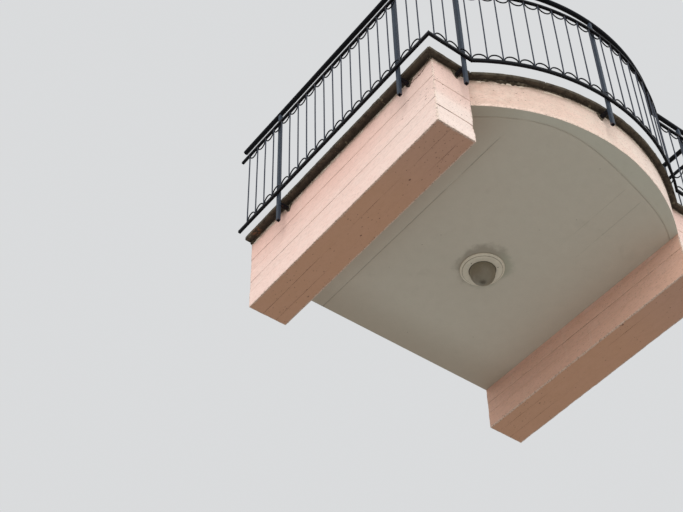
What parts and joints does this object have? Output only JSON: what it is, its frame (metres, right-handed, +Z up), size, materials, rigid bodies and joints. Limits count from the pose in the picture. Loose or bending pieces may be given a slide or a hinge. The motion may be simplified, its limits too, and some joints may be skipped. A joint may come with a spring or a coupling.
{
  "type": "wrought iron balcony",
  "caption": "Bow-fronted concrete balcony on two cantilever beams, with a stone coping, a black iron railing with scalloped infill and a round lamp under the slab.",
  "frame": {"origin": "middle of the floor slab's back face, on the wall that carries the balcony", "axes": "+X along the wall to the right as seen from outside, -Y straight out from the wall, +Z up"},
  "size_m": [2.749, 2.4658, 1.6175],
  "materials": {
    "soffit_plaster": "matt",
    "painted_concrete": "matt",
    "floor_tile": "matt",
    "coping_stone": "rough",
    "rail_paint": "semi-gloss",
    "post_paint": "semi-gloss",
    "infill_paint": "semi-gloss",
    "lamp_plastic": "matt",
    "lamp_glass": "frosted",
    "lamp_screw": "tarnished"
  },
  "bodies": {
    "root": {"floor_slab": "soffit_plaster", "left_beam": "painted_concrete", "right_beam": "painted_concrete", "floor_paving": "floor_tile", "coping_left": "coping_stone", "coping_front_left": "coping_stone", "coping_bow": "coping_stone", "coping_front_right": "coping_stone", "coping_right": "coping_stone", "handrail_left": "rail_paint", "handrail_front_left": "rail_paint", "handrail_bow": "rail_paint", "handrail_front_right": "rail_paint", "handrail_right": "rail_paint", "top_rail_left": "rail_paint", "top_rail_front_left": "rail_paint", "top_rail_bow": "rail_paint", "top_rail_front_right": "rail_paint", "top_rail_right": "rail_paint", "bottom_rail_left": "rail_paint", "bottom_rail_front_left": "rail_paint", "bottom_rail_bow": "rail_paint", "bottom_rail_front_right": "rail_paint", "bottom_rail_right": "rail_paint", "post_left_rear": "post_paint", "post_left_front": "post_paint", "post_front_left": "post_paint", "post_bow": "post_paint", "post_front_right": "post_paint", "post_right_front": "post_paint", "post_right_rear": "post_paint", "post_brackets_left": "post_paint", "post_brackets_front": "post_paint", "post_brackets_right": "post_paint", "infill_left": "infill_paint", "infill_front_left": "infill_paint", "infill_bow_left": "infill_paint", "infill_bow_right": "infill_paint", "infill_front_right": "infill_paint", "infill_right": "infill_paint", "lamp_base": "lamp_plastic", "lamp_ring": "lamp_plastic", "lamp_glass": "lamp_glass", "lamp_screws": "lamp_screw"}
  },
  "joints": []
}
